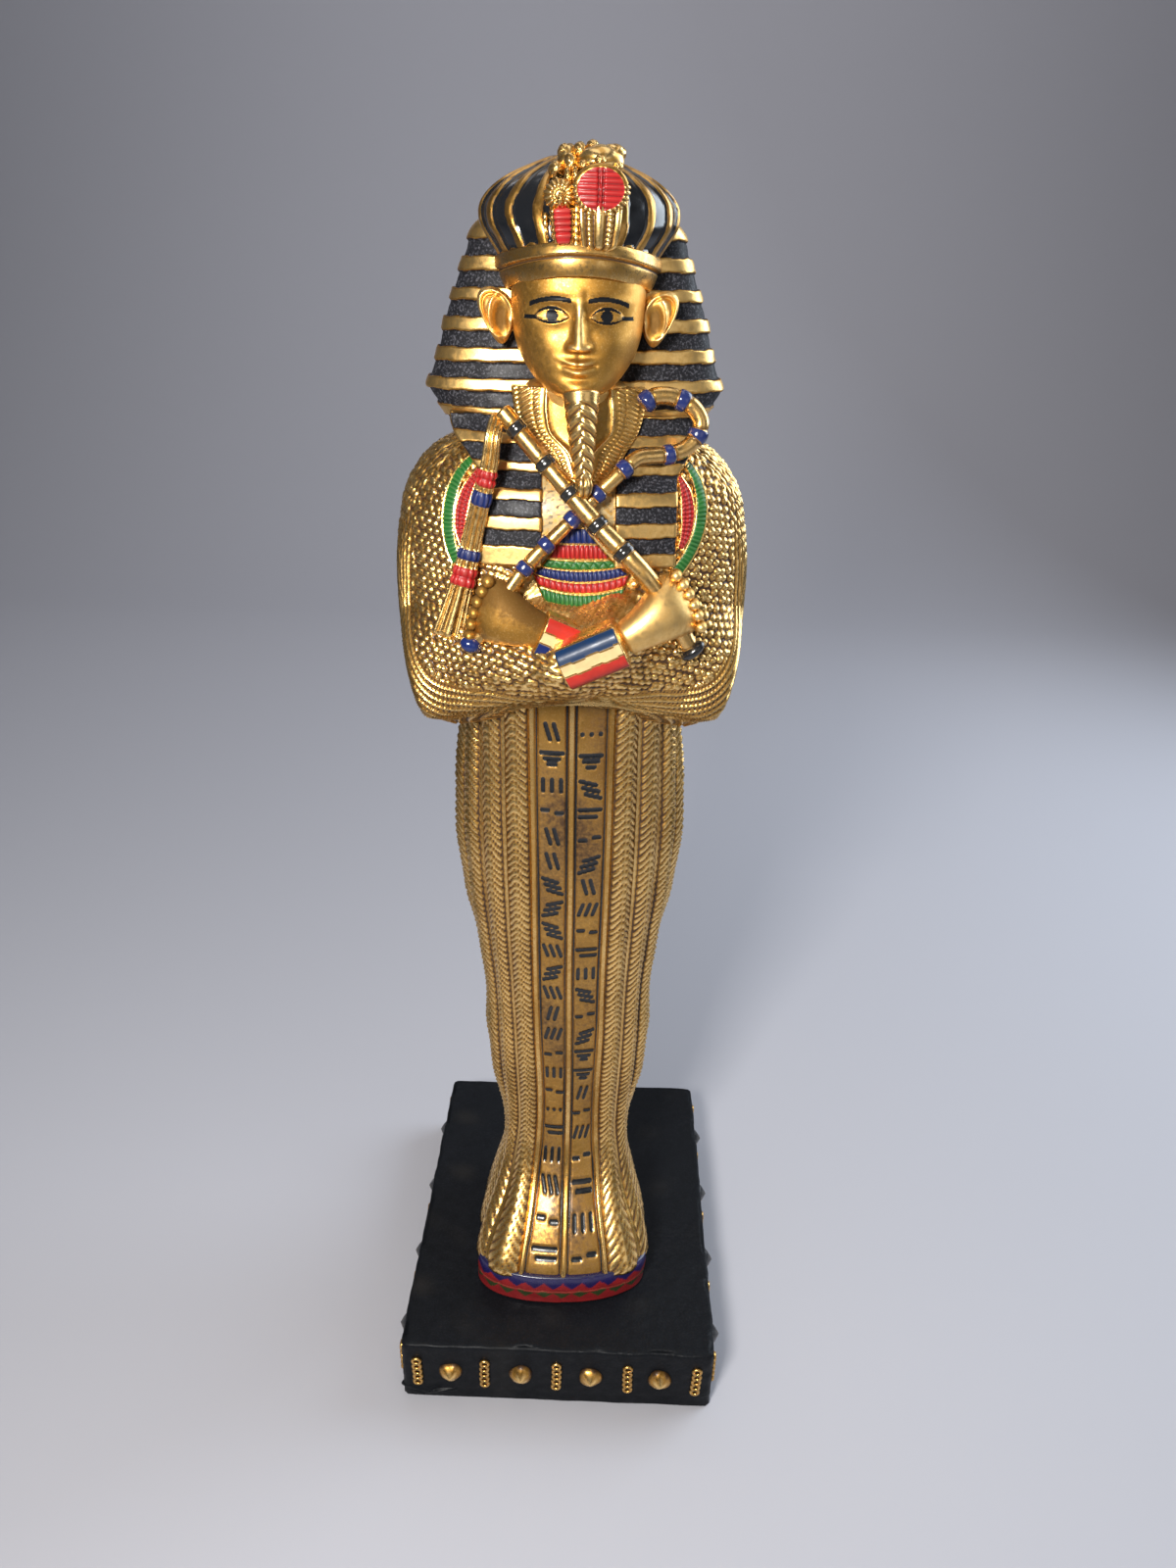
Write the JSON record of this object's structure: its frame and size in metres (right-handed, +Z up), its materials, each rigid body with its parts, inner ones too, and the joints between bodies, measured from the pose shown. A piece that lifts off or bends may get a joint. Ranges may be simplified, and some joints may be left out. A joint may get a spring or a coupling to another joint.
{
  "type": "egyptian pharaoh statue",
  "caption": "Souvenir standing pharaoh wrapped as a mummy, striped headcloth, crossed arms with crook and flail, on a black rectangular plinth.",
  "frame": {"origin": "middle of the underside of the plinth", "axes": "+Z up, -Y the way the plinth's front faces, +X to the viewer's right"},
  "size_m": [0.0892, 0.1102, 0.3],
  "materials": {
    "gold_paint": "antique gold paint on cast resin, with black, red, green and blue painted details",
    "black_paint": "semi-gloss black paint on cast resin, with gold domes and ring strips"
  },
  "bodies": {
    "root": {"figure": "gold_paint", "plinth": "black_paint"}
  },
  "joints": []
}
